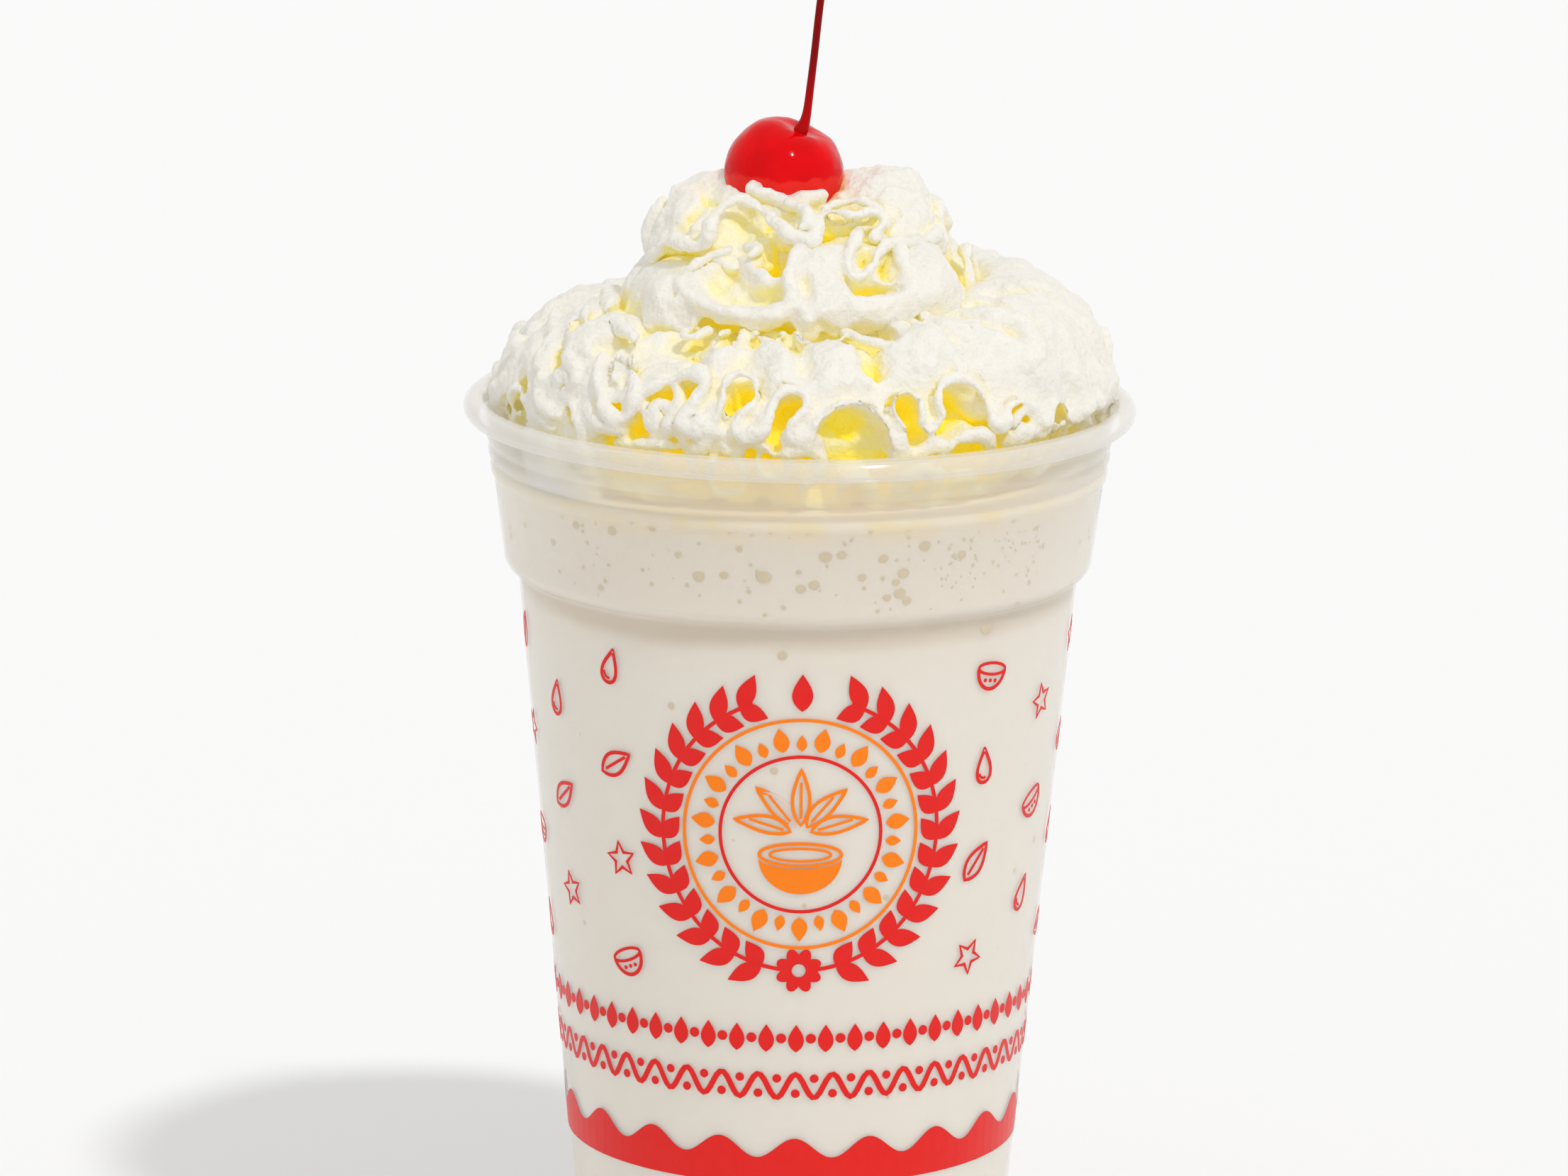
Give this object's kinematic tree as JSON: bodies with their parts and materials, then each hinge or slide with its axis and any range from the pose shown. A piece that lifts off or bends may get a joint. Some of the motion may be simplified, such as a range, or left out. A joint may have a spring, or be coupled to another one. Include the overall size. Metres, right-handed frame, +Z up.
{
  "type": "coconut milkshake in a clear takeaway cup",
  "caption": "Creamy white milkshake in a tapered clear plastic cup with a rolled lip, topped with a piped swirl of whipped cream and a stemmed red cherry.",
  "frame": {"origin": "middle of the cup's foot, on the surface it stands on", "axes": "+Z up along the cup's axis, -Y towards the printed front, +X to the right"},
  "size_m": [0.098, 0.098, 0.2198],
  "materials": {
    "clear_plastic": "clear, slightly milky thin plastic with printed ink",
    "shake": "smooth off-white drink with small air bubbles",
    "cream": "soft satin whipped cream",
    "cherry_red": "wet, glossy and slightly translucent",
    "stem_red": "satin, dyed by syrup",
    "red_ink": "opaque print on the cup",
    "orange_ink": "opaque print on the cup"
  },
  "bodies": {
    "root": {"cup": "clear_plastic", "milkshake": "shake", "whipped_cream": "cream", "cherry": "cherry_red", "cherry_stem": "stem_red"}
  },
  "joints": []
}
